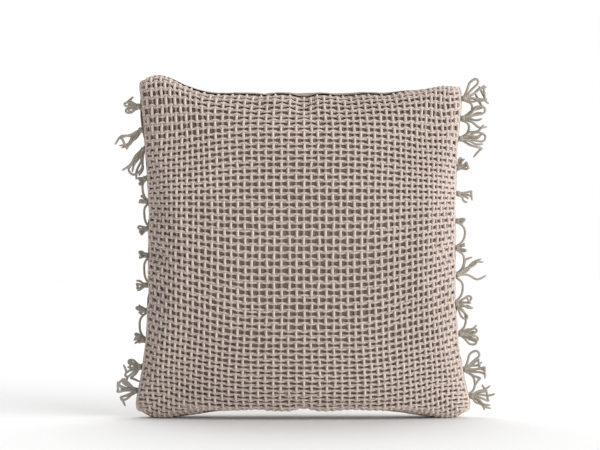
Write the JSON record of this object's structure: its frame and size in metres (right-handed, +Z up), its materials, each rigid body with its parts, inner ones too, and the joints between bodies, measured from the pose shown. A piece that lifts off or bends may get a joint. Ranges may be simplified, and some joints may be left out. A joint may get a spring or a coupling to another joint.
{
  "type": "throw pillow",
  "caption": "Square throw pillow with an open-weave cord front, knotted side fringe, a plain zipped back and a fibre insert.",
  "frame": {"origin": "middle of the bounding box, on the surface that the pillow stands on", "axes": "the open-weave front faces -Y, +X is to the right of it and +Z is up; the zip is in the back, near the bottom"},
  "size_m": [0.49, 0.14, 0.449],
  "materials": {
    "net_cord": "twisted cotton cord, matt",
    "fringe_cord": "twisted cotton cord, matt",
    "ground_cloth": "plain-woven cotton, matt",
    "back_cloth": "heavy plain-woven cotton, matt",
    "casing_cloth": "plain cotton casing",
    "filling": "loose polyester fibre",
    "zip_tape": "woven tape",
    "zip_coil": "nylon coil",
    "zip_metal": "tumbled nickel plate"
  },
  "bodies": {
    "pillow": {"front_net": "net_cord", "front_ground_cloth": "ground_cloth", "back_panel_upper": "back_cloth", "back_panel_lower": "back_cloth", "insert_casing_front": "casing_cloth", "insert_casing_back": "casing_cloth", "insert_filling": "filling", "zip_tape_upper": "zip_tape", "zip_tape_lower": "zip_tape", "zip_coil_upper": "zip_coil", "zip_coil_lower": "zip_coil", "zip_top_stops": "zip_metal", "zip_bottom_stop": "zip_metal", "fringe_left_01": "fringe_cord", "fringe_left_02": "fringe_cord", "fringe_left_03": "fringe_cord", "fringe_left_04": "fringe_cord", "fringe_left_05": "fringe_cord", "fringe_left_06": "fringe_cord", "fringe_left_07": "fringe_cord", "fringe_left_08": "fringe_cord", "fringe_left_09": "fringe_cord", "fringe_left_10": "fringe_cord", "fringe_left_11": "fringe_cord", "fringe_left_12": "fringe_cord", "fringe_right_01": "fringe_cord", "fringe_right_02": "fringe_cord", "fringe_right_03": "fringe_cord", "fringe_right_04": "fringe_cord", "fringe_right_05": "fringe_cord", "fringe_right_06": "fringe_cord", "fringe_right_07": "fringe_cord", "fringe_right_08": "fringe_cord", "fringe_right_09": "fringe_cord", "fringe_right_10": "fringe_cord", "fringe_right_11": "fringe_cord", "fringe_right_12": "fringe_cord"},
    "slider": {"zip_slider": "zip_metal"},
    "pull_tab": {"zip_pull": "zip_metal"}
  },
  "joints": [
    {"name": "zip_slide", "type": "slide", "parent": "pillow", "child": "slider", "axis": [1, 0, 0], "range_m": [0, 0.257]},
    {"name": "pull_flip", "type": "hinge", "parent": "slider", "child": "pull_tab", "pos_m": [-0.13125, 0.05182, 0.05746], "axis": [0, 0.3371, 0.9415], "range_deg": [0, 170]}
  ]
}
